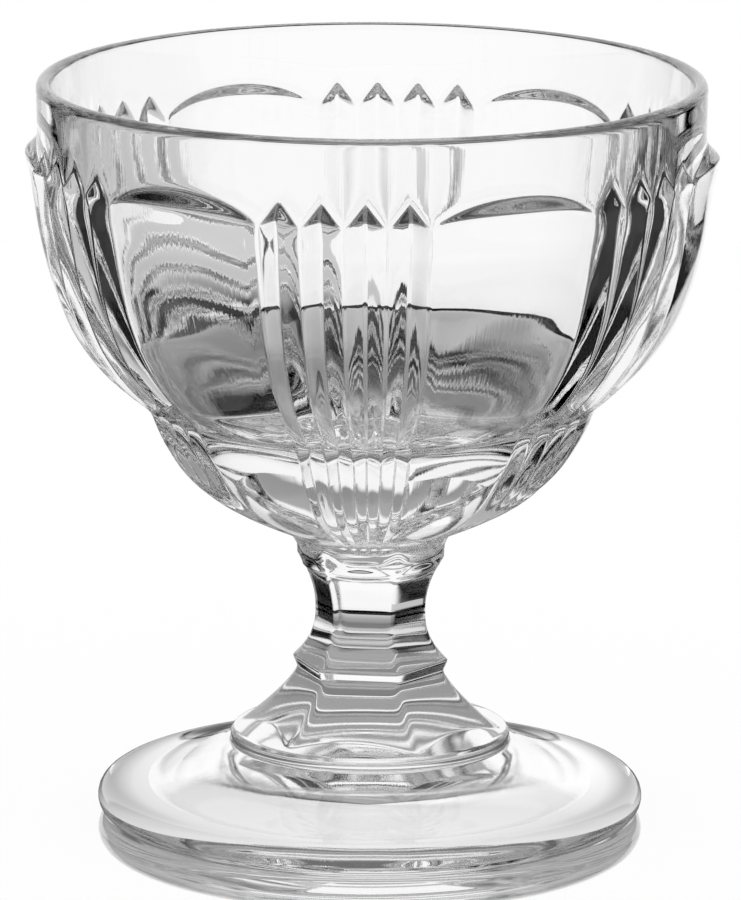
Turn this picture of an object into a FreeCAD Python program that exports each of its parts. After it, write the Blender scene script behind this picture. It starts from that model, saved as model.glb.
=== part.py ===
import FreeCAD, Part
import math
import os

# Footed fruit cocktail glass, one piece of pressed glass. Sizes in mm, angles in degrees.
# The axis is Z and the foot stands on Z = 0. The front is the -Y side.
# Each zone has its own height, and the zones stack from the foot up to the rim.

# Foot
FOOT_RADIUS = 37.0
FOOT_EDGE = 4.6
FOOT_RISE = 5.2
FOOT_DIP = 0.5
HOLLOW_RADIUS = 29.0
HOLLOW_DEPTH = 1.8

# Round ring on the foot
RING_RADIUS = 18.95
RING_EDGE = 1.4
RING_ROUND = 0.5
RING_CONE_RISE = 2.6
RING_CONE_RADIUS = 12.0

# Six-sided stem, with corner radii
STEM_SIDES = 6
STEM_TURN = -8.8
STEM_SECTIONS = 6
FLARE_HEIGHT = 8.6
FLARE_POWER = 1.3
FLARE_START_RADIUS = 10.3
LEDGE_RADIUS = 10.95
LEDGE_HEIGHT = 1.5
LOW_WAIST_HEIGHT = 6.7
LOW_WAIST_POWER = 2.4
WAIST_RADIUS = 7.8
HIGH_WAIST_HEIGHT = 6.4
HIGH_WAIST_POWER = 2.05
STEM_TOP_RADIUS = 9.55

# Round bead, groove and collar between the stem and the bowl
BEAD_RADIUS = 9.15
BEAD_HEIGHT = 0.8
BEAD_UNDERCUT = 1.95
GROOVE_RADIUS = 8.4
GROOVE_HEIGHT = 0.6
COLLAR_LOW_RADIUS = 9.5
COLLAR_LOW_HEIGHT = 0.8
COLLAR_RADIUS = 10.9
COLLAR_HEIGHT = 2.4

# Pattern round the bowl: groups of pointed ribs with a bulged panel after each group
GROUPS = 6
RIBS_PER_GROUP = 4
GROUP_ANGLE = 29.2
PATTERN_TURN = -4.7

# Lower tier of the bowl: share of its height, share of its spread, share of its rib depth
LOWER_TIER_HEIGHT = 18.0
LOWER_RIB_DEPTH = 1.5
LOWER_TIER_CURVE = (
    (0.0, 0.0, 0.13),
    (0.08, 0.17, 0.33),
    (0.2, 0.4, 0.6),
    (0.34, 0.6, 0.87),
    (0.5, 0.755, 1.0),
    (0.67, 0.865, 1.0),
    (0.83, 0.945, 0.8),
    (1.0, 1.0, 0.47),
    (1.12, 1.02, 0.27),
)
CREASE_RADIUS = 30.3

# Upper tier of the bowl: share of its height, share of its spread, share of its rib depth
UPPER_TIER_HEIGHT = 32.05
UPPER_RIB_DEPTH = 2.0
UPPER_TIER_CURVE = (
    (-0.04, -0.12, 0.2),
    (0.015, 0.045, 0.45),
    (0.14, 0.352, 0.7),
    (0.31, 0.627, 0.82),
    (0.5, 0.805, 0.82),
    (0.7, 0.91, 0.77),
    (0.86, 0.965, 0.72),
    (0.97, 1.0, 0.68),
    (1.04, 1.034, 0.98),
    (1.1, 1.066, 1.15),
    (1.16, 1.1, 1.3),
)
TOP_OVERHANG = 1.4

# Slanted tops of the ribs and panels, which run out on the band
RIB_TOP_RISE = 3.6
PANEL_TOP_RISE = 3.85
RIB_TOP_SLOPE = 0.82
PANEL_TOP_SLOPE = 1.06
PATTERN_LIFT = 0.1
TOP_MARGIN = 0.3

# Plain band and rim
RIM_RADIUS = 45.0
LIP_THICKNESS = 2.1
BAND_HEIGHT = 10.95
BAND_INSET_WIDTH = 0.3

# Inside of the bowl: share of its depth from the bottom, share of its radius
BOWL_FLOOR_THICKNESS = 15.2
BOWL_CURVE = (
    (0.825, 0.977),
    (0.672, 0.956),
    (0.498, 0.909),
    (0.345, 0.83),
    (0.225, 0.727),
    (0.127, 0.597),
    (0.052, 0.41),
    (0.013, 0.205),
)

# Heights of the zone borders
RING_LOW_Z = FOOT_EDGE + FOOT_RISE
RING_TOP_Z = RING_LOW_Z + RING_EDGE
LEDGE_LOW_Z = RING_TOP_Z + FLARE_HEIGHT
LEDGE_TOP_Z = LEDGE_LOW_Z + LEDGE_HEIGHT
WAIST_Z = LEDGE_TOP_Z + LOW_WAIST_HEIGHT
BEAD_LOW_Z = WAIST_Z + HIGH_WAIST_HEIGHT
BEAD_TOP_Z = BEAD_LOW_Z + BEAD_HEIGHT
GROOVE_Z = BEAD_TOP_Z + GROOVE_HEIGHT
COLLAR_LOW_Z = GROOVE_Z + COLLAR_LOW_HEIGHT
COLLAR_TOP_Z = COLLAR_LOW_Z + COLLAR_HEIGHT
CREASE_Z = COLLAR_TOP_Z + LOWER_TIER_HEIGHT
BAND_LOW_Z = CREASE_Z + UPPER_TIER_HEIGHT
LIP_Z = BAND_LOW_Z + BAND_HEIGHT
HEIGHT = LIP_Z + LIP_THICKNESS / 2

BOWL_BOTTOM_Z = COLLAR_TOP_Z + BOWL_FLOOR_THICKNESS

BAND_LOW_RADIUS = RIM_RADIUS - BAND_INSET_WIDTH
TIER_TOP_RADIUS = BAND_LOW_RADIUS + TOP_OVERHANG


def around(radius, angle, z):
    """Point at a radius, an azimuth from the front and a height."""
    a = math.radians(angle)
    return FreeCAD.Vector(radius * math.sin(a), -radius * math.cos(a), z)


def profile(radius, z):
    """Point of a profile that is turned about the axis."""
    return FreeCAD.Vector(radius, 0.0, z)


def line(a, b):
    """Straight edge between two points."""
    return Part.LineSegment(a, b).toShape()


def arc(a, b, c):
    """Edge along the arc through three points."""
    return Part.Arc(a, b, c).toShape()


def lines(points):
    """Straight edges that join (radius, z) points in turn."""
    corners = [profile(r, z) for r, z in points]
    return [line(a, b) for a, b in zip(corners, corners[1:])]


def turned(edges):
    """Solid of revolution from a closed profile."""
    face = Part.Face(Part.Wire(edges))
    return face.revolve(FreeCAD.Vector(0, 0, 0), FreeCAD.Vector(0, 0, 1), 360)


def pattern_section(valley, rib_crest, panel_crest, z):
    """Cross-section of the bowl: groups of V ribs and one bulged panel after each group."""
    period = 360.0 / GROUPS
    rib_angle = GROUP_ANGLE / RIBS_PER_GROUP
    edges = []
    for group in range(GROUPS):
        start = PATTERN_TURN + group * period - GROUP_ANGLE / 2
        for rib in range(RIBS_PER_GROUP):
            left = start + rib * rib_angle
            crest = around(rib_crest, left + rib_angle / 2, z)
            edges.append(line(around(valley, left, z), crest))
            edges.append(line(crest, around(valley, left + rib_angle, z)))
        begin = around(valley, start + GROUP_ANGLE, z)
        middle = around(panel_crest, start + (GROUP_ANGLE + period) / 2, z)
        edges.append(arc(begin, middle, around(valley, start + period, z)))
    return Part.Wire(edges)


def tier(curve, low_radius, high_radius, low_z, height, rib_depth):
    """Ribbed and panelled solid through the cross-sections of one tier."""
    sections = []
    for height_share, spread_share, depth_share in curve:
        crest = low_radius + spread_share * (high_radius - low_radius)
        valley = crest - depth_share * rib_depth
        z = low_z + height_share * height
        sections.append(pattern_section(valley, crest, crest, z))
    return Part.makeLoft(sections, True, False)


def slanted_tops():
    """Solid whose sides slant in upwards and leave the ribs pointed and the panels arched."""
    sections = []
    for z in (COLLAR_TOP_Z, BAND_LOW_Z + PANEL_TOP_RISE + TOP_MARGIN):
        valley = BAND_LOW_RADIUS + PATTERN_LIFT + RIB_TOP_SLOPE * (BAND_LOW_Z - z)
        rib_apex = BAND_LOW_Z + RIB_TOP_RISE
        panel_apex = BAND_LOW_Z + PANEL_TOP_RISE
        rib_crest = band_radius(rib_apex) + RIB_TOP_SLOPE * (rib_apex - z)
        panel_crest = band_radius(panel_apex) + PANEL_TOP_SLOPE * (panel_apex - z)
        sections.append(pattern_section(valley, rib_crest, panel_crest, z))
    return Part.makeLoft(sections, True, True)


def band_radius(z):
    """Radius of the plain band, a slight cone that narrows downwards."""
    return RIM_RADIUS - BAND_INSET_WIDTH * (LIP_Z - z) / BAND_HEIGHT


def band():
    """Plain band with the rounded lip, tucked in under the tops of the ribs."""
    half = LIP_THICKNESS / 2
    inner = RIM_RADIUS - LIP_THICKNESS
    tucked = BAND_LOW_RADIUS - 3 * LIP_THICKNESS
    tucked_z = BAND_LOW_Z - 2 * LIP_THICKNESS
    lip = arc(profile(inner, LIP_Z), profile(RIM_RADIUS - half, HEIGHT), profile(RIM_RADIUS, LIP_Z))
    body = lines([
        (RIM_RADIUS, LIP_Z),
        (BAND_LOW_RADIUS, BAND_LOW_Z),
        (tucked, tucked_z),
        (0, tucked_z),
        (0, LIP_Z),
        (inner, LIP_Z),
    ])
    return turned([lip] + body)


def bowl_inside():
    """Smooth hollow of the bowl."""
    inner = RIM_RADIUS - LIP_THICKNESS
    depth = LIP_Z - BOWL_BOTTOM_Z
    points = [profile(inner, LIP_Z)]
    for depth_share, radius_share in BOWL_CURVE:
        points.append(profile(inner * radius_share, BOWL_BOTTOM_Z + depth * depth_share))
    points.append(profile(0, BOWL_BOTTOM_Z))
    curve = Part.BSplineCurve()
    down = FreeCAD.Vector(-0.1, 0, -1)
    level = FreeCAD.Vector(-1, 0, 0)
    curve.interpolate(Points=points, InitialTangent=down, FinalTangent=level)
    above = HEIGHT + BAND_HEIGHT
    walls = lines([(0, BOWL_BOTTOM_Z), (0, above), (inner, above), (inner, LIP_Z)])
    return turned([curve.toShape()] + walls)


def stem_section(radius, z):
    """Polygon of the stem with its corners at a radius."""
    turn = 360.0 / STEM_SIDES
    corners = [around(radius, STEM_TURN + (side + 0.5) * turn, z) for side in range(STEM_SIDES)]
    return Part.makePolygon(corners + corners[:1])


def stem_zone(z_start, z_end, start_radius, end_radius, power):
    """Zone of the stem whose corner radius leaves start_radius slowly and reaches end_radius."""
    sections = []
    for step in range(STEM_SECTIONS):
        share = step / (STEM_SECTIONS - 1)
        radius = start_radius + (end_radius - start_radius) * share ** power
        sections.append(stem_section(radius, z_start + (z_end - z_start) * share))
    return Part.makeLoft(sections, True, False)


def stem():
    """Waist, ledge and lower flare of the six-sided stem."""
    high = stem_zone(WAIST_Z, BEAD_LOW_Z, WAIST_RADIUS, STEM_TOP_RADIUS, HIGH_WAIST_POWER)
    low = stem_zone(WAIST_Z, LEDGE_TOP_Z, WAIST_RADIUS, LEDGE_RADIUS, LOW_WAIST_POWER)
    ledge_low = stem_section(FLARE_START_RADIUS, LEDGE_LOW_Z)
    ledge_top = stem_section(LEDGE_RADIUS, LEDGE_TOP_Z)
    ledge = Part.makeLoft([ledge_low, ledge_top], True, True)
    flare = stem_zone(LEDGE_LOW_Z, RING_TOP_Z, FLARE_START_RADIUS, RING_RADIUS, FLARE_POWER)
    return high.fuse([low, ledge, flare])


def collar():
    """Round bead at the head of the stem, the groove and the collar under the bowl."""
    under = BEAD_RADIUS - BEAD_UNDERCUT
    inside_z = COLLAR_TOP_Z + COLLAR_LOW_HEIGHT
    return turned(lines([
        (0, BEAD_LOW_Z - BEAD_HEIGHT),
        (under, BEAD_LOW_Z - BEAD_HEIGHT),
        (BEAD_RADIUS, BEAD_LOW_Z),
        (BEAD_RADIUS, BEAD_TOP_Z),
        (GROOVE_RADIUS, GROOVE_Z),
        (COLLAR_LOW_RADIUS, COLLAR_LOW_Z),
        (COLLAR_RADIUS, COLLAR_TOP_Z),
        (COLLAR_RADIUS, inside_z),
        (0, inside_z),
        (0, BEAD_LOW_Z - BEAD_HEIGHT),
    ]))


def foot():
    """Round foot with a rounded edge, a hollow underside and the ring in its middle."""
    half = FOOT_EDGE / 2
    edge = FOOT_RADIUS - half
    dip = arc(
        profile(edge, FOOT_EDGE),
        profile((RING_RADIUS + edge) / 2, (RING_LOW_Z + FOOT_EDGE) / 2 - FOOT_DIP),
        profile(RING_RADIUS, RING_LOW_Z),
    )
    dome = (HOLLOW_RADIUS ** 2 + HOLLOW_DEPTH ** 2) / (2 * HOLLOW_DEPTH)
    halfway_drop = dome - math.sqrt(dome ** 2 - (HOLLOW_RADIUS / 2) ** 2)
    hollow = arc(
        profile(0, HOLLOW_DEPTH),
        profile(HOLLOW_RADIUS / 2, HOLLOW_DEPTH - halfway_drop),
        profile(HOLLOW_RADIUS, 0),
    )
    rounded = arc(profile(edge, 0), profile(FOOT_RADIUS, half), profile(edge, FOOT_EDGE))
    ring = lines([
        (RING_RADIUS, RING_LOW_Z),
        (RING_RADIUS, RING_TOP_Z),
        (RING_RADIUS - RING_ROUND, RING_TOP_Z + RING_ROUND),
        (RING_CONE_RADIUS, RING_TOP_Z + RING_CONE_RISE),
        (0, RING_TOP_Z + RING_CONE_RISE),
        (0, HOLLOW_DEPTH),
    ])
    return turned([hollow] + lines([(HOLLOW_RADIUS, 0), (edge, 0)]) + [rounded, dip] + ring)


def glass():
    """Outer form in one solid, with the hollow of the bowl cut out."""
    lower = tier(
        LOWER_TIER_CURVE, COLLAR_RADIUS, CREASE_RADIUS, COLLAR_TOP_Z, LOWER_TIER_HEIGHT, LOWER_RIB_DEPTH
    )
    upper = tier(
        UPPER_TIER_CURVE, CREASE_RADIUS, TIER_TOP_RADIUS, CREASE_Z, UPPER_TIER_HEIGHT, UPPER_RIB_DEPTH
    )
    upper = upper.common(slanted_tops())
    outside = upper.fuse([lower, band(), collar(), stem(), foot()])
    return outside.cut(bowl_inside()).removeSplitter()


os.makedirs("parts", exist_ok=True)
glass().exportStep("parts/glass.step")
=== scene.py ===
"""Visual model of a footed fruit cocktail glass in clear pressed glass, with camera and studio."""
import logging
import math
from dataclasses import dataclass, field
from enum import Enum
from typing import Callable

import bpy
import numpy as np
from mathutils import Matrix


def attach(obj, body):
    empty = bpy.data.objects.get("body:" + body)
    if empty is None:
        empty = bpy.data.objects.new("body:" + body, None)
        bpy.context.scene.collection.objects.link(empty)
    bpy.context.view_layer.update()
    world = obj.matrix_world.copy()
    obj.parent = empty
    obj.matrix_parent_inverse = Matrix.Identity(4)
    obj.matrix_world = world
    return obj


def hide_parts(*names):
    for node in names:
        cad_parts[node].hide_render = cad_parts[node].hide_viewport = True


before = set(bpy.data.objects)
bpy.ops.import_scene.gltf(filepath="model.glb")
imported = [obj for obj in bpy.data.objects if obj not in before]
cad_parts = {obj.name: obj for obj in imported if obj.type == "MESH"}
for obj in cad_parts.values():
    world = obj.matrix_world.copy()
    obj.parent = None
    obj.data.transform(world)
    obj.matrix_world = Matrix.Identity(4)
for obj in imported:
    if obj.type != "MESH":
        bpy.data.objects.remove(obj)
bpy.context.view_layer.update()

LOG = logging.getLogger("glass")

WHITE = (1.0, 1.0, 1.0, 1.0)

# Rows of numbers that describe a curve: a place first, then one or more values at that place.
Stations = tuple[tuple[float, ...], ...]


def soft_max(a: np.ndarray, b: np.ndarray, width: float) -> np.ndarray:
    """Larger of two radii, with the crease between them rounded.

    Args:
        a: First radii in metres.
        b: Second radii in metres.
        width: Width of the rounding in metres.

    Returns:
        The radii of the outer of the two surfaces.
    """
    return 0.5 * (a + b + np.sqrt((a - b) ** 2 + width ** 2))


def soft_min(a: np.ndarray, b: np.ndarray, width: float) -> np.ndarray:
    """Smaller of two radii, with the edge between them rounded.

    Args:
        a: First radii in metres.
        b: Second radii in metres.
        width: Width of the rounding in metres.

    Returns:
        The radii of the inner of the two surfaces.
    """
    return 0.5 * (a + b - np.sqrt((a - b) ** 2 + width ** 2))


def smooth_curve(x: np.ndarray, stations: Stations, column: int) -> np.ndarray:
    """Smooth curve through stations, carried on straight past both ends.

    Args:
        x: Places along the curve, in the units of the stations' first value.
        stations: Rows of values whose first value is the place.
        column: Which value of each row is followed.

    Returns:
        The value of the curve at each place.
    """
    knots = np.array([row[0] for row in stations])
    values = np.array([row[column] for row in stations])
    slopes = np.gradient(values, knots)
    left = np.clip(np.searchsorted(knots, x) - 1, 0, len(knots) - 2)
    step = knots[left + 1] - knots[left]
    t = np.clip((x - knots[left]) / step, 0.0, 1.0)
    curve = (
        (2 * t ** 3 - 3 * t ** 2 + 1) * values[left]
        + (t ** 3 - 2 * t ** 2 + t) * step * slopes[left]
        + (3 * t ** 2 - 2 * t ** 3) * values[left + 1]
        + (t ** 3 - t ** 2) * step * slopes[left + 1]
    )
    below = np.minimum(x - knots[0], 0.0) * slopes[0]
    above = np.maximum(x - knots[-1], 0.0) * slopes[-1]
    return curve + below + above


def crossing(
    gap: Callable[[np.ndarray], np.ndarray], low: np.ndarray, high: np.ndarray
) -> np.ndarray:
    """Height in each column at which a gap turns from negative to positive on the way up.

    Args:
        gap: Function of the heights that gives the gap in each column.
        low: Heights below the crossing.
        high: Heights above the crossing.

    Returns:
        The heights of the crossing.
    """
    halvings = 36
    for _ in range(halvings):
        middle = 0.5 * (low + high)
        past = gap(middle) > 0.0
        high = np.where(past, middle, high)
        low = np.where(past, low, middle)
    return 0.5 * (low + high)


def crowded(count: int, pull: float) -> np.ndarray:
    """Shares from 0 up to but not including 1, drawn towards both ends.

    Args:
        count: Number of shares.
        pull: Share of the crowding at the ends, from 0 to 1.

    Returns:
        The shares.
    """
    even = np.arange(count) / count
    return (1.0 - pull) * even + pull * 0.5 * (1.0 - np.cos(np.pi * even))


def spread(start: np.ndarray, end: np.ndarray, count: int, pull: float) -> np.ndarray:
    """Rows of heights between two borders, drawn towards both of them.

    Args:
        start: Heights of the first border, which is included.
        end: Heights of the second border, which is left out.
        count: Number of rows.
        pull: Share of the crowding at the borders, from 0 to 1.

    Returns:
        An array of rows by columns.
    """
    return start + (end - start) * crowded(count, pull)[:, None]


@dataclass
class Rows:
    """Rings of points round the axis: a radius and a height for each row and column."""

    radius: np.ndarray
    height: np.ndarray


@dataclass
class Columns:
    """Vertical lines of the mesh round the axis, set by the pattern of the bowl.

    Attributes:
        azimuth: Angle of each column, in radians from the front.
        is_panel: Whether the column lies on a panel and not on a rib.
        ridge: Share of the way from valley to crest on a rib.
        panel_angle: Eased angle from the middle of the panel, in radians.
    """

    azimuth: np.ndarray
    is_panel: np.ndarray
    ridge: np.ndarray
    panel_angle: np.ndarray

    @property
    def count(self) -> int:
        """Number of columns."""
        return len(self.azimuth)

    def turned(self, radius: np.ndarray, height: np.ndarray) -> Rows:
        """Round rows, the same in every column.

        Args:
            radius: Radius of each row.
            height: Height of each row.

        Returns:
            The rows.
        """
        ones = np.ones(self.count)
        return Rows(np.outer(radius, ones), np.outer(height, ones))


@dataclass
class BowlPattern:
    """Groups of pointed ribs with a bulged panel after each group, angles in degrees."""

    groups: int = 6
    ribs: int = 4
    group_angle: float = 29.2
    turn: float = -4.7
    edge_softness: float = 0.07
    panel_edge: float = 0.93
    panel_groove: float = 1.0
    panel_end_softness: float = 0.35
    rib_places: tuple[float, ...] = (-1.0, -0.87, -0.62, -0.34, -0.12, 0.0, 0.12, 0.34, 0.62, 0.87)
    panel_steps: int = 24
    panel_pull: float = 0.6

    def columns(self) -> Columns:
        """Columns that lie on each valley and crest, with more of them beside the edges.

        Returns:
            The columns of one full turn.
        """
        period = 360.0 / self.groups
        rib_angle = self.group_angle / self.ribs
        panel_half = (period - self.group_angle) / 2
        azimuth, is_panel, place, panel_angle = [], [], [], []
        for group in range(self.groups):
            start = self.turn + group * period - self.group_angle / 2
            for rib in range(self.ribs):
                for x in self.rib_places:
                    azimuth.append(start + (rib + 0.5 * (x + 1.0)) * rib_angle)
                    is_panel.append(False)
                    place.append(x)
                    panel_angle.append(0.0)
            for share in crowded(self.panel_steps, self.panel_pull):
                azimuth.append(start + self.group_angle + 2 * panel_half * share)
                is_panel.append(True)
                place.append(0.0)
                panel_angle.append(panel_half * (2 * share - 1))
        return Columns(
            np.radians(azimuth),
            np.array(is_panel),
            self._ridge(np.array(place)),
            self._soft_ends(np.array(panel_angle), panel_half),
        )

    def _ridge(self, place: np.ndarray) -> np.ndarray:
        """Rise of a rib from 0 in the valley to 1 at the crest, with rounded edges.

        Args:
            place: Place across the rib, from -1 to 1 with the crest at 0.

        Returns:
            The share of the way from valley to crest.
        """
        soft = self.edge_softness
        crest = np.sqrt(place ** 2 + soft ** 2)
        valley = np.sqrt((1.0 - np.abs(place)) ** 2 + soft ** 2)
        whole = math.sqrt(1.0 + soft ** 2) - soft
        return 0.5 - 0.5 * (crest - valley) / whole

    def _soft_ends(self, angle: np.ndarray, half: float) -> np.ndarray:
        """Angles from the middle of a panel, eased where it runs into the ribs.

        Args:
            angle: Angles from the middle in degrees.
            half: Half of the panel's width in degrees.

        Returns:
            The eased angles in radians.
        """
        soft = self.panel_end_softness
        inward = half - np.abs(angle)
        whole = math.sqrt(half ** 2 + soft ** 2) - soft
        eased = (np.sqrt(inward ** 2 + soft ** 2) - soft) / whole
        return np.radians(np.sign(angle) * half * (1.0 - eased))

    def section(
        self, columns: Columns, valley: np.ndarray, rib_crest: np.ndarray, panel_crest: np.ndarray
    ) -> np.ndarray:
        """Radius of the ribs and panels.

        Args:
            columns: Columns of the mesh.
            valley: Radius in the valleys.
            rib_crest: Radius at the crests of the ribs.
            panel_crest: Radius in the middle of the panels.

        Returns:
            The radius at each row and column.
        """
        half_rib = math.radians(self.group_angle / self.ribs / 2)
        angle = columns.ridge * half_rib
        across = valley * np.sin(angle) + rib_crest * np.sin(half_rib - angle)
        rib = valley * rib_crest * math.sin(half_rib) / across
        end = math.radians((360.0 / self.groups - self.group_angle) / 2)
        edge = panel_crest - self.panel_edge * (panel_crest - valley)
        centre = (panel_crest ** 2 - edge ** 2) / (2 * (panel_crest - edge * math.cos(end)))
        bulge = panel_crest - centre
        sine = centre * np.sin(columns.panel_angle)
        outward = np.sqrt(np.maximum(bulge ** 2 - sine ** 2, 0.0))
        panel = centre * np.cos(columns.panel_angle) + outward
        inward = (end - np.abs(columns.panel_angle)) / math.radians(self.panel_groove)
        groove = (edge - valley) * np.clip(1.0 - inward, 0.0, 1.0) ** 2
        return np.where(columns.is_panel, panel - groove, rib)


@dataclass
class Tier:
    """One tier of the bowl, whose stations are shares of its height, spread and rib depth."""

    low_z: float
    height: float
    low_radius: float
    high_radius: float
    rib_depth: float
    stations: Stations
    least_depth: float = 0.0001

    def radius(self, pattern: BowlPattern, columns: Columns, z: np.ndarray) -> np.ndarray:
        """Radius of the ribbed and panelled surface.

        Args:
            pattern: Ribs and panels.
            columns: Columns of the mesh.
            z: Heights.

        Returns:
            The radius at each height and column.
        """
        share = (z - self.low_z) / self.height
        spread_out = smooth_curve(share, self.stations, 1)
        crest = self.low_radius + spread_out * (self.high_radius - self.low_radius)
        depth = np.maximum(self.rib_depth * smooth_curve(share, self.stations, 2), self.least_depth)
        valley = crest - depth
        return pattern.section(columns, valley, crest, crest)


@dataclass
class Bowl:
    """Outside of the bowl: two patterned tiers under a plain band with a rounded lip.

    The row counts are the rows and their crowding in the lower tier, the upper tier, the slanted
    tops and the band.
    """

    collar_z: float = 0.0390
    crease_z: float = 0.0570
    band_low_z: float = 0.08905
    lip_z: float = 0.1000
    collar_radius: float = 0.0109
    crease_radius: float = 0.0303
    rim_radius: float = 0.0450
    band_inset: float = 0.0003
    lip_thickness: float = 0.0021
    top_overhang: float = 0.0014
    rib_top_rise: float = 0.0036
    panel_top_rise: float = 0.00385
    rib_top_slope: float = 0.82
    panel_top_slope: float = 1.06
    pattern_lift: float = 0.0001
    tuck_slope: float = 1.5
    tuck_end_slope: float = 500.0
    edge_width: float = 0.00035
    crease_width: float = 0.0006
    border_reach: float = 0.004
    least_slant: float = 0.0003
    lip_steps: int = 9
    pattern: BowlPattern = field(default_factory=BowlPattern)
    row_counts: tuple[tuple[int, float], ...] = ((26, 0.7), (46, 0.75), (9, 0.8), (10, 0.55))
    lower_rib_depth: float = 0.0012
    lower_stations: Stations = (
        (0.0, 0.0, 0.13),
        (0.08, 0.17, 0.33),
        (0.2, 0.4, 0.6),
        (0.34, 0.6, 0.87),
        (0.5, 0.755, 1.0),
        (0.67, 0.865, 1.0),
        (0.83, 0.945, 0.8),
        (1.0, 1.0, 0.47),
        (1.12, 1.02, 0.27),
    )
    upper_rib_depth: float = 0.0020
    upper_stations: Stations = (
        (-0.04, -0.12, 0.2),
        (0.015, 0.045, 0.45),
        (0.14, 0.352, 0.7),
        (0.31, 0.627, 0.82),
        (0.5, 0.805, 0.82),
        (0.7, 0.91, 0.77),
        (0.86, 0.965, 0.72),
        (0.97, 1.0, 0.68),
        (1.04, 1.034, 0.98),
        (1.1, 1.066, 1.15),
        (1.16, 1.1, 1.3),
    )

    @property
    def band_low_radius(self) -> float:
        """Radius of the band at its lower end."""
        return self.rim_radius - self.band_inset

    @property
    def lower(self) -> Tier:
        """Tier between the collar and the crease."""
        return Tier(
            self.collar_z, self.crease_z - self.collar_z, self.collar_radius, self.crease_radius,
            self.lower_rib_depth, self.lower_stations,
        )

    @property
    def upper(self) -> Tier:
        """Tier between the crease and the band."""
        top = self.band_low_radius + self.top_overhang
        return Tier(
            self.crease_z, self.band_low_z - self.crease_z, self.crease_radius, top,
            self.upper_rib_depth, self.upper_stations,
        )

    def band(self, z: np.ndarray) -> np.ndarray:
        """Radius of the plain band, which tucks in under the tops of the ribs.

        Args:
            z: Heights.

        Returns:
            The radius at each height.
        """
        cone = self.rim_radius - self.band_inset * (self.lip_z - z) / (self.lip_z - self.band_low_z)
        tucked = self.band_low_radius - self.tuck_slope * (self.band_low_z - z)
        return np.minimum(cone, tucked + self.tuck_end_slope * np.maximum(z - self.band_low_z, 0.0))

    def slant(self, columns: Columns, z: np.ndarray) -> np.ndarray:
        """Radius of the slanted tops of the ribs and panels.

        Args:
            columns: Columns of the mesh.
            z: Heights.

        Returns:
            The radius at each height and column.
        """
        rib_apex = self.band_low_z + self.rib_top_rise
        panel_apex = self.band_low_z + self.panel_top_rise
        valley_end = self.band_low_radius + self.pattern_lift
        valley = valley_end + self.rib_top_slope * (self.band_low_z - z)
        rib_crest = self.band(rib_apex) + self.rib_top_slope * (rib_apex - z)
        panel_crest = self.band(panel_apex) + self.panel_top_slope * (panel_apex - z)
        return self.pattern.section(columns, valley, rib_crest, panel_crest)

    def radius(self, columns: Columns, z: np.ndarray) -> np.ndarray:
        """Radius of the finished outside.

        Args:
            columns: Columns of the mesh.
            z: Heights, rows by columns.

        Returns:
            The radius at each row and column.
        """
        prism = soft_min(
            self.upper.radius(self.pattern, columns, z), self.slant(columns, z), self.edge_width
        )
        tiers = soft_max(prism, self.lower.radius(self.pattern, columns, z), self.crease_width)
        return soft_max(tiers, self.band(z), self.edge_width)

    def rows(self, columns: Columns) -> list[Rows]:
        """Rows from the collar up to the lip, with borders that follow the pattern.

        Args:
            columns: Columns of the mesh.

        Returns:
            The rows, lowest first.
        """
        flat = np.zeros(columns.count)
        reach = self.border_reach
        pattern, upper, lower = self.pattern, self.upper, self.lower
        top_line = crossing(
            lambda z: self.band(z) - self.slant(columns, z),
            flat + self.band_low_z - reach,
            flat + self.band_low_z + 2 * reach,
        )
        edge_line = crossing(
            lambda z: upper.radius(pattern, columns, z) - self.slant(columns, z),
            flat + self.band_low_z - 3 * reach,
            flat + self.band_low_z + 2 * reach,
        )
        edge_line = np.minimum(edge_line, top_line - self.least_slant)
        crease_line = crossing(
            lambda z: upper.radius(pattern, columns, z) - lower.radius(pattern, columns, z),
            flat + self.crease_z - reach,
            flat + self.crease_z + reach,
        )
        borders = (flat + self.collar_z, crease_line, edge_line, top_line, flat + self.lip_z)
        heights = np.vstack([
            spread(low, high, count, pull)
            for low, high, (count, pull) in zip(borders, borders[1:], self.row_counts)
        ])
        return [Rows(self.radius(columns, heights), heights), self._lip(columns)]

    def _lip(self, columns: Columns) -> Rows:
        """Half-round lip from the outer wall over to the inner wall.

        Args:
            columns: Columns of the mesh.

        Returns:
            The rows of the lip.
        """
        half = self.lip_thickness / 2
        turn = np.linspace(0.0, math.pi, self.lip_steps + 1)
        return columns.turned(
            self.rim_radius - half + half * np.cos(turn), self.lip_z + half * np.sin(turn)
        )


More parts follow.
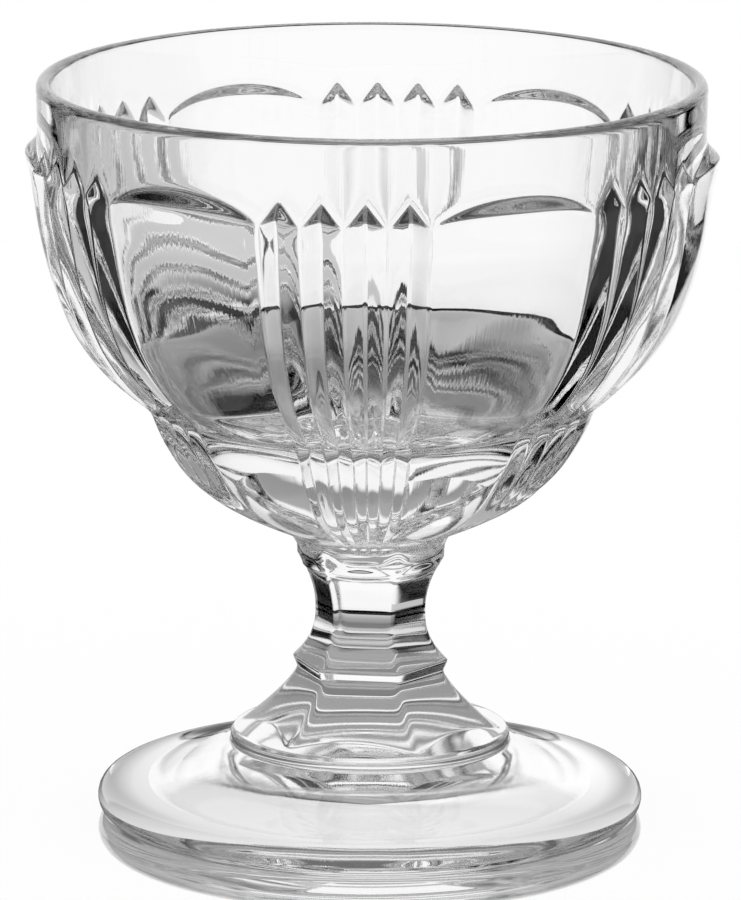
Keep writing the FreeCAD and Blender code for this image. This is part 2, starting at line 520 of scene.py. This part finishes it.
@dataclass
class BowlInside:
    """Smooth hollow of the bowl, whose stations are a share of its height and of its radius."""

    bottom_z: float = 0.05355
    steps: int = 27
    crowding: float = 1.1
    stations: Stations = (
        (0.828, 0.977),
        (0.677, 0.958),
        (0.505, 0.902),
        (0.354, 0.824),
        (0.236, 0.723),
        (0.139, 0.597),
        (0.059, 0.441),
        (0.014, 0.212),
    )

    def rows(self, columns: Columns, bowl: Bowl) -> list[Rows]:
        """Rows from just under the lip down to the bottom, whose middle is left to one point.

        Args:
            columns: Columns of the mesh.
            bowl: Outside of the bowl.

        Returns:
            The rows, highest first.
        """
        inner = bowl.rim_radius - bowl.lip_thickness
        bottom = self.bottom_z
        room = bowl.lip_z - bottom
        half = [(inner, bowl.lip_z)]
        half += [(inner * share, bottom + room * z) for z, share in self.stations]
        half += [(0.0, bottom)]
        mirrored = half + [(-r, z) for r, z in reversed(half[:-1])]
        lengths = np.cumsum([0.0] + [math.dist(a, b) for a, b in zip(mirrored, mirrored[1:])])
        path = tuple((s, r, z) for s, (r, z) in zip(lengths, mirrored))
        middle = lengths[len(half) - 1]
        along = middle * (1.0 - (1.0 - np.arange(1, self.steps) / self.steps) ** self.crowding)
        return [columns.turned(smooth_curve(along, path, 1), smooth_curve(along, path, 2))]


@dataclass
class Stem:
    """Six-sided stem between the foot's ring and the collar under the bowl.

    The row counts belong to the ring's cone, the flare, the ledge, the waist and the head with the
    bead, the groove and the collar.
    """

    sides: int = 6
    turn: float = -8.8
    ring_top_z: float = 0.0112
    ring_radius: float = 0.01895
    ring_round: float = 0.0005
    cone_rise: float = 0.0026
    cone_radius: float = 0.0120
    ledge_low_z: float = 0.0198
    ledge_top_z: float = 0.0213
    ledge_radius: float = 0.01095
    flare_start_radius: float = 0.0103
    flare_power: float = 1.3
    waist_z: float = 0.0280
    waist_radius: float = 0.0078
    low_waist_power: float = 2.4
    high_waist_power: float = 2.05
    bead_low_z: float = 0.0344
    head_reach: float = 1.2
    top_radius: float = 0.00955
    corner_width: float = 0.0006
    blur: float = 0.00012
    blur_steps: int = 5
    blend: float = 0.0003
    ledge_margin: float = 0.0003
    head_z: float = 0.0335
    collar_z: float = 0.0390
    row_counts: tuple[int, ...] = (21, 12, 9, 16, 22)
    collar_profile: Stations = (
        (0.0330, 0.0050),
        (0.0336, 0.0072),
        (0.0344, 0.00915),
        (0.0352, 0.00915),
        (0.0358, 0.0084),
        (0.0366, 0.0095),
        (0.0390, 0.0109),
    )

    def corner_radius(self, z: np.ndarray) -> np.ndarray:
        """Radius of the stem's corners.

        Args:
            z: Heights.

        Returns:
            The radius at each height.
        """
        up = (z - self.waist_z) / (self.bead_low_z - self.waist_z)
        up = np.clip(up, 0.0, self.head_reach)
        high_spread = self.top_radius - self.waist_radius
        high = self.waist_radius + high_spread * up ** self.high_waist_power
        down = np.clip((self.waist_z - z) / (self.waist_z - self.ledge_top_z), 0.0, 1.0)
        low_spread = self.ledge_radius - self.waist_radius
        low = self.waist_radius + low_spread * down ** self.low_waist_power
        bevel = np.clip((self.ledge_top_z - z) / (self.ledge_top_z - self.ledge_low_z), 0.0, 1.0)
        ledge = self.ledge_radius + (self.flare_start_radius - self.ledge_radius) * bevel
        fall = np.clip((self.ledge_low_z - z) / (self.ledge_low_z - self.ring_top_z), 0.0, 1.0)
        flare_spread = self.ring_radius - self.flare_start_radius
        flare = self.flare_start_radius + flare_spread * fall ** self.flare_power
        waist = np.where(z > self.waist_z, high, low)
        return np.where(z > self.ledge_top_z, waist, np.where(z > self.ledge_low_z, ledge, flare))

    def blurred(self, profile: Callable[[np.ndarray], np.ndarray], z: np.ndarray) -> np.ndarray:
        """Profile with its corners rounded a little.

        Args:
            profile: Radius as a function of height.
            z: Heights.

        Returns:
            The rounded radius.
        """
        offsets = self.blur * np.linspace(-1.0, 1.0, self.blur_steps)
        return sum(profile(z + offset) for offset in offsets) / len(offsets)

    def cone(self, z: np.ndarray) -> np.ndarray:
        """Radius of the conical top of the round ring.

        Args:
            z: Heights.

        Returns:
            The radius at each height.
        """
        edge_z = self.ring_top_z + self.ring_round
        edge = self.ring_radius - self.ring_round
        slope = (self.cone_radius - edge) / (self.cone_rise - self.ring_round)
        return np.minimum(self.ring_radius - (z - self.ring_top_z), edge + slope * (z - edge_z))

    def radius(self, columns: Columns, z: np.ndarray) -> np.ndarray:
        """Radius of the stem with the bead, groove, collar and ring.

        Args:
            columns: Columns of the mesh.
            z: Heights, rows by columns.

        Returns:
            The radius at each row and column.
        """
        step = 2 * math.pi / self.sides
        flat_turn = (columns.azimuth - math.radians(self.turn) + step / 2) % step - step / 2
        corner = self.blurred(self.corner_radius, z)
        flat = corner * math.cos(step / 2)
        near = flat / np.cos(flat_turn)
        other = flat / np.cos(step - np.abs(flat_turn))
        stem = soft_min(near, other, self.corner_width)
        collar = self.blurred(self._collar, z)
        body = soft_max(soft_max(stem, collar, self.blend), self.cone(z), self.blend)
        return np.minimum(body, np.maximum(self.ring_radius, collar))

    def _collar(self, z: np.ndarray) -> np.ndarray:
        """Radius of the bead, groove and collar, kept inside the stem below them.

        Args:
            z: Heights.

        Returns:
            The radius at each height.
        """
        heights = [row[0] for row in self.collar_profile]
        radii = [row[1] for row in self.collar_profile]
        return np.interp(z, heights, radii)

    def rows(self, columns: Columns) -> list[Rows]:
        """Rows from the ring's edge up to the collar.

        Args:
            columns: Columns of the mesh.

        Returns:
            The rows, lowest first.
        """
        borders = (
            self.ring_top_z, self.ring_top_z + self.cone_rise, self.ledge_low_z - self.ledge_margin,
            self.ledge_top_z + self.ledge_margin, self.head_z, self.collar_z,
        )
        levels = np.concatenate([
            np.linspace(low, high, count, endpoint=False)
            for low, high, count in zip(borders, borders[1:], self.row_counts)
        ])
        heights = np.outer(levels, np.ones(columns.count))
        return [Rows(self.radius(columns, heights), heights)]


@dataclass
class Foot:
    """Round foot with a rounded edge, a hollow underside and a ring in its middle."""

    radius: float = 0.0370
    edge: float = 0.0046
    rise: float = 0.0052
    dip: float = 0.0005
    hollow_radius: float = 0.0290
    hollow_depth: float = 0.0060
    hollow_power: float = 2.0
    fillet: float = 0.0004
    hollow_steps: int = 14
    flat_steps: int = 3
    edge_steps: int = 13
    top_steps: int = 17
    corner_steps: int = 3
    side_steps: int = 3

    def rows(self, columns: Columns, stem: Stem) -> list[Rows]:
        """Rows from beside the middle of the underside, round the edge and up to the ring.

        Args:
            columns: Columns of the mesh.
            stem: Stem that stands on the ring.

        Returns:
            The rows, in order along the profile.
        """
        half = self.edge / 2
        edge_radius = self.radius - half
        out = self.hollow_radius * np.linspace(0.0, 1.0, self.hollow_steps + 1)[1:]
        under = self.hollow_depth * (1.0 - (out / self.hollow_radius) ** self.hollow_power)
        resting = np.linspace(self.hollow_radius, edge_radius, self.flat_steps + 1)[1:-1]
        turn = np.linspace(-math.pi / 2, math.pi / 2, self.edge_steps + 1)
        ring_low_z = self.edge + self.rise
        across = np.linspace(0.0, 1.0, self.top_steps + 1)[1:-1]
        top_r = edge_radius + (stem.ring_radius + self.fillet - edge_radius) * across
        inward = (edge_radius - top_r) / (edge_radius - stem.ring_radius)
        chord = self.edge + (ring_low_z - self.edge) * inward
        top_z = chord - 4 * self.dip * across * (1.0 - across)
        corner = np.linspace(0.0, math.pi / 2, self.corner_steps + 1)
        corner_r = stem.ring_radius + self.fillet * (1.0 - np.sin(corner))
        corner_z = ring_low_z + self.fillet * (1.0 - np.cos(corner))
        side = np.linspace(ring_low_z + self.fillet, stem.ring_top_z, self.side_steps + 1)[1:-1]
        radius = np.concatenate([
            out, resting, edge_radius + half * np.cos(turn), top_r, corner_r,
            np.full(len(side), stem.ring_radius),
        ])
        height = np.concatenate([
            under, np.zeros(len(resting)), half + half * np.sin(turn), top_z, corner_z, side,
        ])
        return [columns.turned(radius, height)]


class Sees(Enum):
    """Kinds of ray that a surface or the surroundings may answer in their own way."""

    GLOSSY = "Is Glossy Ray"
    TRANSMISSION = "Is Transmission Ray"


class Nodes:
    """Short ways to lay out the nodes of one tree."""

    def __init__(self, tree: bpy.types.NodeTree) -> None:
        """Start from an empty tree.

        Args:
            tree: Tree of a material or of the surroundings.
        """
        self.tree = tree
        tree.nodes.clear()

    def add(self, kind: str, **settings: object) -> bpy.types.Node:
        """Add a node and set its properties.

        Args:
            kind: Type name of the node, without the leading "ShaderNode".
            **settings: Properties of the node.

        Returns:
            The node.
        """
        node = self.tree.nodes.new("ShaderNode" + kind)
        for name, value in settings.items():
            setattr(node, name, value)
        return node

    def feed(self, socket: bpy.types.NodeSocket, value: object) -> None:
        """Give a socket a link or a plain value.

        Args:
            socket: Input socket.
            value: Output socket, number or colour.
        """
        if isinstance(value, bpy.types.NodeSocket):
            self.tree.links.new(value, socket)
        else:
            socket.default_value = value

    def maths(self, operation: str, *values: object) -> bpy.types.NodeSocket:
        """Work out a number.

        Args:
            operation: Name of the operation.
            *values: Output sockets or numbers.

        Returns:
            The result's socket.
        """
        node = self.add("Math", operation=operation)
        for socket, value in zip(node.inputs, values):
            self.feed(socket, value)
        return node.outputs[0]

    def curve(self, place: bpy.types.NodeSocket, stops: Stations) -> bpy.types.NodeSocket:
        """Grey level that follows a place between stops.

        Args:
            place: Place from 0 to 1.
            stops: Rows of place and grey level.

        Returns:
            The colour's socket.
        """
        ramp = self.add("ValToRGB")
        elements = ramp.color_ramp.elements
        while len(elements) > 1:
            elements.remove(elements[-1])
        for index, (spot, level) in enumerate(stops):
            element = elements[0] if index == 0 else elements.new(spot)
            element.position = spot
            element.color = (level, level, level, 1.0)
        self.feed(ramp.inputs[0], place)
        return ramp.outputs[0]

    def round_share(self, parts: bpy.types.Node) -> bpy.types.NodeSocket:
        """Place round the axis as a share of a full turn, with 0.5 straight behind.

        Args:
            parts: Node that gives the X and Y of a place or direction.

        Returns:
            The share's socket.
        """
        turn = self.maths("ARCTAN2", parts.outputs["X"], parts.outputs["Y"])
        return self.maths("MULTIPLY_ADD", turn, 0.5 / math.pi, 0.5)

    def mixed(
        self, share: object, first: bpy.types.NodeSocket, second: bpy.types.NodeSocket
    ) -> bpy.types.NodeSocket:
        """Mix two shaders.

        Args:
            share: Share of the second shader.
            first: First shader.
            second: Second shader.

        Returns:
            The mixed shader.
        """
        node = self.add("MixShader")
        self.feed(node.inputs[0], share)
        self.feed(node.inputs[1], first)
        self.feed(node.inputs[2], second)
        return node.outputs[0]


@dataclass(frozen=True)
class ClearGlass:
    """Clear colourless pressed glass with the soft waves and fine streaks of its surface."""

    colour: tuple[float, float, float, float] = WHITE
    ior: float = 1.52
    roughness: float = 0.0
    streaks_round: float = 110.0
    streaks_up: float = 70.0
    streak_detail: float = 2.0
    streak_height: float = 0.000003
    wave_scale: float = 110.0
    wave_detail: float = 1.0
    wave_height: float = 0.000030

    def material(self) -> bpy.types.Material:
        """Node material of the glass.

        Returns:
            The material.
        """
        material = bpy.data.materials.new("clear_pressed_glass")
        material.use_nodes = True
        nodes = Nodes(material.node_tree)
        shader = nodes.add("BsdfPrincipled")
        shader.inputs["Base Color"].default_value = self.colour
        shader.inputs["Transmission Weight"].default_value = 1.0
        shader.inputs["IOR"].default_value = self.ior
        shader.inputs["Roughness"].default_value = self.roughness
        nodes.feed(shader.inputs["Normal"], self._surface(nodes))
        output = nodes.add("OutputMaterial")
        nodes.feed(output.inputs["Surface"], shader.outputs[0])
        return material

    def _surface(self, nodes: Nodes) -> bpy.types.NodeSocket:
        """Fine streaks up the walls and out over the foot, on top of a soft wave.

        Args:
            nodes: Nodes of the material.

        Returns:
            The normal's socket.
        """
        place = nodes.add("TexCoord").outputs["Object"]
        parts = nodes.add("SeparateXYZ")
        nodes.feed(parts.inputs[0], place)
        turn = nodes.maths("ARCTAN2", parts.outputs["X"], parts.outputs["Y"])
        lines = nodes.add("CombineXYZ")
        nodes.feed(lines.inputs["X"], nodes.maths("MULTIPLY", turn, self.streaks_round))
        nodes.feed(lines.inputs["Z"], nodes.maths("MULTIPLY", parts.outputs["Z"], self.streaks_up))
        streaks = nodes.add("TexNoise")
        streaks.inputs["Scale"].default_value = 1.0
        streaks.inputs["Detail"].default_value = self.streak_detail
        nodes.feed(streaks.inputs["Vector"], lines.outputs[0])
        waves = nodes.add("TexNoise")
        waves.inputs["Scale"].default_value = self.wave_scale
        waves.inputs["Detail"].default_value = self.wave_detail
        nodes.feed(waves.inputs["Vector"], place)
        fine = nodes.maths("MULTIPLY", streaks.outputs[0], self.streak_height)
        height = nodes.maths("MULTIPLY_ADD", waves.outputs[0], self.wave_height, fine)
        bump = nodes.add("Bump")
        bump.inputs["Distance"].default_value = 1.0
        nodes.feed(bump.inputs["Height"], height)
        return bump.outputs[0]


@dataclass
class GlassBody:
    """The whole glass as one closed mesh."""

    name: str = "pressed_glass_body"
    node: str = "glass"
    slot: str = "clear_glass"
    bowl: Bowl = field(default_factory=Bowl)
    inside: BowlInside = field(default_factory=BowlInside)
    stem: Stem = field(default_factory=Stem)
    foot: Foot = field(default_factory=Foot)
    finish: ClearGlass = ClearGlass()

    def build(self) -> bpy.types.Object:
        """Build the mesh, dress it and let it stand for the solid.

        Returns:
            The object.
        """
        columns = self.bowl.pattern.columns()
        bands = self.foot.rows(columns, self.stem) + self.stem.rows(columns)
        bands += self.bowl.rows(columns) + self.inside.rows(columns, self.bowl)
        radius = np.vstack([band.radius for band in bands])
        height = np.vstack([band.height for band in bands])
        piece = bpy.data.objects.new(self.name, self._mesh(columns, radius, height))
        bpy.context.collection.objects.link(piece)
        piece.data.materials.append(self.finish.material())
        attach(piece, "root")
        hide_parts(self.node)
        LOG.info("%s: %d rows by %d columns", self.name, len(radius), columns.count)
        return piece

    def _mesh(self, columns: Columns, radius: np.ndarray, height: np.ndarray) -> bpy.types.Mesh:
        """Closed mesh of quads between the rows, with a fan at each end.

        Args:
            columns: Columns of the mesh.
            radius: Radius at each row and column.
            height: Height at each row and column.

        Returns:
            The mesh.
        """
        count = columns.count
        points = np.stack([
            radius * np.sin(columns.azimuth), -radius * np.cos(columns.azimuth), height,
        ], axis=-1).reshape(-1, 3)
        ends = np.array([[0.0, 0.0, self.foot.hollow_depth], [0.0, 0.0, self.inside.bottom_z]])
        here = np.arange(count)
        beside = (here + 1) % count
        faces = []
        for row in range(len(radius) - 1):
            low, high = row * count, (row + 1) * count
            corners = [low + here, low + beside, high + beside, high + here]
            faces += np.stack(corners, axis=1).tolist()
        under, inner, last = len(points), len(points) + 1, (len(radius) - 1) * count
        faces += [[under, int(b), int(a)] for a, b in zip(here, beside)]
        faces += [[inner, int(last + a), int(last + b)] for a, b in zip(here, beside)]
        mesh = bpy.data.meshes.new(self.name)
        mesh.from_pydata(np.vstack([points, ends]).tolist(), [], faces)
        mesh.shade_smooth()
        mesh.validate()
        return mesh


@dataclass
class PhotoCamera:
    """Long lens at the photograph's viewing angle, rolled for the slight lean of the glass."""

    place: tuple[float, float, float] = (-0.000864, -1.12542, 0.30422)
    pitch: float = 0.2221
    roll: float = -0.0032
    lens: float = 341.62
    sensor: float = 36.0
    near: float = 0.01

    def build(self) -> bpy.types.Object:
        """Make the camera and hand it to the scene.

        Returns:
            The camera.
        """
        data = bpy.data.cameras.new("photo_camera")
        data.lens = self.lens
        data.sensor_width = self.sensor
        data.clip_start = self.near
        camera = bpy.data.objects.new("photo_camera", data)
        camera.location = self.place
        camera.rotation_euler = (math.pi / 2 - self.pitch, self.roll, 0.0)
        bpy.context.collection.objects.link(camera)
        bpy.context.scene.camera = camera
        LOG.info("camera at %s", self.place)
        return camera


@dataclass(frozen=True)
class PaintedShadeSector:
    """Part of the painted shade on the table as the glass shows it: a level round the glass times a
    level outwards.

    Attributes:
        by_turn: Share of a turn, with 0.5 straight behind, and level.
        by_radius: Share of the table's radius, and level.
    """

    by_turn: Stations
    by_radius: Stations


@dataclass(frozen=True)
class TableTop:
    """Pale glossy table that is white to the eye.

    Seen through the glass it shows a glowing pattern of painted shade instead of its lit surface:
    grey near by, with one dark line and white beyond that, and dark at the sides.
    """

    glow: float = 0.55
    mirror: float = 1.1
    mirror_roughness: float = 0.05
    radius: float = 0.4
    # Painted shade seen through the glass, in three sectors: grey near the glass, a dark line and
    # dark sides.
    behind: PaintedShadeSector = PaintedShadeSector(
        (
            (0.0, 0.0), (0.408, 0.0), (0.413, 0.62), (0.444, 0.66), (0.455, 1.0), (0.54, 1.0),
            (0.585, 0.9), (0.6, 0.0), (1.0, 0.0),
        ),
        (
            (0.0, 0.34), (0.09, 0.34), (0.105, 0.16), (0.145, 0.16), (0.17, 0.3), (0.212, 0.38),
            (0.262, 0.58), (0.276, 0.6), (0.28, 0.0), (0.366, 0.0), (0.374, 0.97), (0.6, 1.0),
            (1.0, 1.0),
        ),
    )
    below: PaintedShadeSector = PaintedShadeSector(
        (
            (0.0, 0.85), (0.16, 0.75), (0.36, 0.8), (0.375, 0.0), (0.6, 0.0), (0.63, 1.0),
            (0.72, 1.0), (0.84, 0.75), (1.0, 0.85),
        ),
        ((0.0, 1.0), (0.077, 1.0), (0.09, 0.1), (0.1, 0.0), (1.0, 0.0)),
    )
    around: PaintedShadeSector = PaintedShadeSector(
        (
            (0.0, 0.8), (0.15, 0.8), (0.24, 0.0), (0.366, 0.0), (0.371, 0.55), (0.408, 0.6),
            (0.413, 0.0), (0.76, 0.0), (0.85, 0.8), (1.0, 0.8),
        ),
        ((0.0, 0.0), (0.36, 0.0), (0.42, 1.0), (1.0, 1.0)),
    )

    def material(self) -> bpy.types.Material:
        """Node material of the table.

        Returns:
            The material.
        """
        material = bpy.data.materials.new("pale_table_painted_shade")
        material.use_nodes = True
        nodes = Nodes(material.node_tree)
        output = nodes.add("OutputMaterial")
        light = nodes.add("LightPath")
        paint = nodes.add("BsdfDiffuse")
        paint.inputs["Color"].default_value = WHITE
        glow = nodes.add("Emission")
        glow.inputs["Color"].default_value = WHITE
        plain = nodes.mixed(self.glow, paint.outputs[0], glow.outputs[0])
        gloss = nodes.add("BsdfGlossy")
        gloss.inputs["Roughness"].default_value = self.mirror_roughness
        gloss.inputs["Color"].default_value = WHITE
        facing = nodes.add("LayerWeight")
        share = nodes.maths("MULTIPLY", facing.outputs["Facing"], self.mirror)
        seen = nodes.mixed(share, plain, gloss.outputs[0])
        place = nodes.add("TexCoord")
        parts = nodes.add("SeparateXYZ")
        nodes.feed(parts.inputs[0], place.outputs["Object"])
        length = nodes.add("VectorMath", operation="LENGTH")
        nodes.feed(length.inputs[0], place.outputs["Object"])
        turn = nodes.round_share(parts)
        outward = nodes.maths("DIVIDE", length.outputs["Value"], self.radius)
        # Painted shade: an emission whose grey levels stand in for the shade round the glass and
        # the dark sides. Glossy rays see it in place of the lit table.
        level = None
        for sector in (self.behind, self.below, self.around):
            round_level = nodes.curve(turn, sector.by_turn)
            product = nodes.maths("MULTIPLY", round_level, nodes.curve(outward, sector.by_radius))
            level = product if level is None else nodes.maths("ADD", level, product)
        through = nodes.add("Emission")
        nodes.feed(through.inputs["Color"], level)
        whole = nodes.mixed(light.outputs[Sees.GLOSSY.value], seen, through.outputs[0])
        nodes.feed(output.inputs["Surface"], whole)
        return material


@dataclass
class Studio:
    """Pale table with a white backdrop, a soft light over it and dark sides.

    What the glass bends is a level round the scene times a level upwards, and what is mirrored
    has one level round the scene.
    """

    table: TableTop = TableTop()
    table_sides: int = 128
    bounces: int = 24
    mirror_bounces: int = 12
    bent_by_turn: Stations = (
        (0.0, 0.6), (0.15, 0.6), (0.2, 0.4), (0.325, 0.4), (0.335, 0.0), (0.395, 0.0), (0.4, 0.7),
        (0.41, 0.9), (0.42, 1.0), (0.585, 1.0), (0.6, 0.5), (0.605, 0.0), (0.675, 0.0),
        (0.685, 0.35), (0.73, 0.4), (0.75, 0.1), (0.79, 0.1), (0.83, 0.6), (1.0, 0.6),
    )
    bent_by_height: Stations = (
        (0.0, 1.0), (0.36, 1.0), (0.39, 0.3), (0.54, 0.35), (0.58, 0.95), (1.0, 1.0),
    )
    mirrored_by_turn: Stations = (
        (0.0, 0.6), (0.28, 0.6), (0.31, 0.0), (0.395, 0.0), (0.405, 1.0), (0.595, 1.0),
        (0.605, 0.0), (0.69, 0.0), (0.72, 0.6), (1.0, 0.6),
    )

    def build(self) -> None:
        """Make the table and the surroundings."""
        self._table()
        self._surroundings()
        cycles = bpy.context.scene.cycles
        cycles.max_bounces = self.bounces
        cycles.transmission_bounces = self.bounces
        cycles.glossy_bounces = self.mirror_bounces
        LOG.info("studio: table of radius %.2f m and white surroundings", self.table.radius)

    def _table(self) -> bpy.types.Object:
        """Round table top at the height of the foot.

        Returns:
            The table.
        """
        bpy.ops.mesh.primitive_circle_add(
            vertices=self.table_sides, radius=self.table.radius, fill_type="NGON"
        )
        table = bpy.context.object
        table.name = "studio_table"
        table.data.materials.append(self.table.material())
        return table

    def _surroundings(self) -> None:
        """White to the eye; to the glass a white backdrop, a soft light over it and dark sides."""
        world = bpy.data.worlds.new("studio")
        world.use_nodes = True
        nodes = Nodes(world.node_tree)
        output = nodes.add("OutputWorld")
        light = nodes.add("LightPath")
        place = nodes.add("TexCoord")
        parts = nodes.add("SeparateXYZ")
        nodes.feed(parts.inputs[0], place.outputs["Generated"])
        turn = nodes.round_share(parts)
        across = nodes.curve(turn, self.bent_by_turn)
        upwards = nodes.curve(parts.outputs["Z"], self.bent_by_height)
        plain = nodes.add("Background")
        plain.inputs["Color"].default_value = WHITE
        bent = nodes.add("Background")
        nodes.feed(bent.inputs["Color"], nodes.maths("MULTIPLY", across, upwards))
        mirrored = nodes.add("Background")
        nodes.feed(mirrored.inputs["Color"], nodes.curve(turn, self.mirrored_by_turn))
        around = nodes.mixed(
            light.outputs[Sees.TRANSMISSION.value], mirrored.outputs[0], bent.outputs[0]
        )
        seen = nodes.mixed(light.outputs[Sees.GLOSSY.value], plain.outputs[0], around)
        nodes.feed(output.inputs["Surface"], seen)
        bpy.context.scene.world = world


def main() -> None:
    """Build the camera, the glass and the studio."""
    logging.basicConfig(level=logging.INFO, format="%(name)s: %(message)s")
    bpy.context.scene.view_settings.view_transform = "Standard"
    PhotoCamera().build()
    GlassBody().build()
    Studio().build()


if __name__ == "__main__":
    main()
